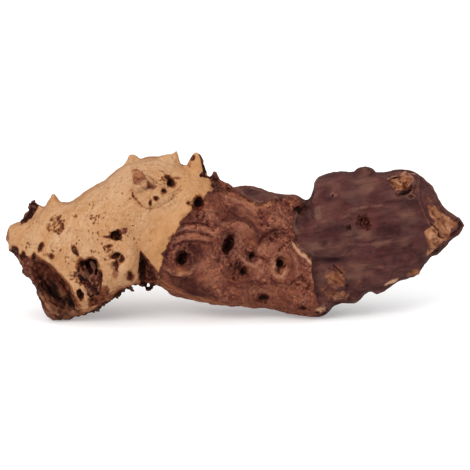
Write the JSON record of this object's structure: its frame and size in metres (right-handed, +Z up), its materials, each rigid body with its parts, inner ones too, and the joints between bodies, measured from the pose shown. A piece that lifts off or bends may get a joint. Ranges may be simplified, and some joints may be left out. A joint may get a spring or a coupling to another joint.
{
  "type": "mopani driftwood root",
  "caption": "Weathered mopani driftwood root, pale burl sapwood with knot holes running into dark heartwood, standing on its own feet as aquarium or vivarium decor.",
  "frame": {"origin": "on the floor, under the middle of the root's box", "axes": "+Z up, -Y is the knotted side that the picture shows, +X runs from the pale block to the dark split end"},
  "size_m": [0.345, 0.1, 0.125],
  "materials": {
    "driftwood": "dry, sand-blasted, unpolished"
  },
  "bodies": {
    "root": {"mopani_root": "driftwood"}
  },
  "joints": []
}
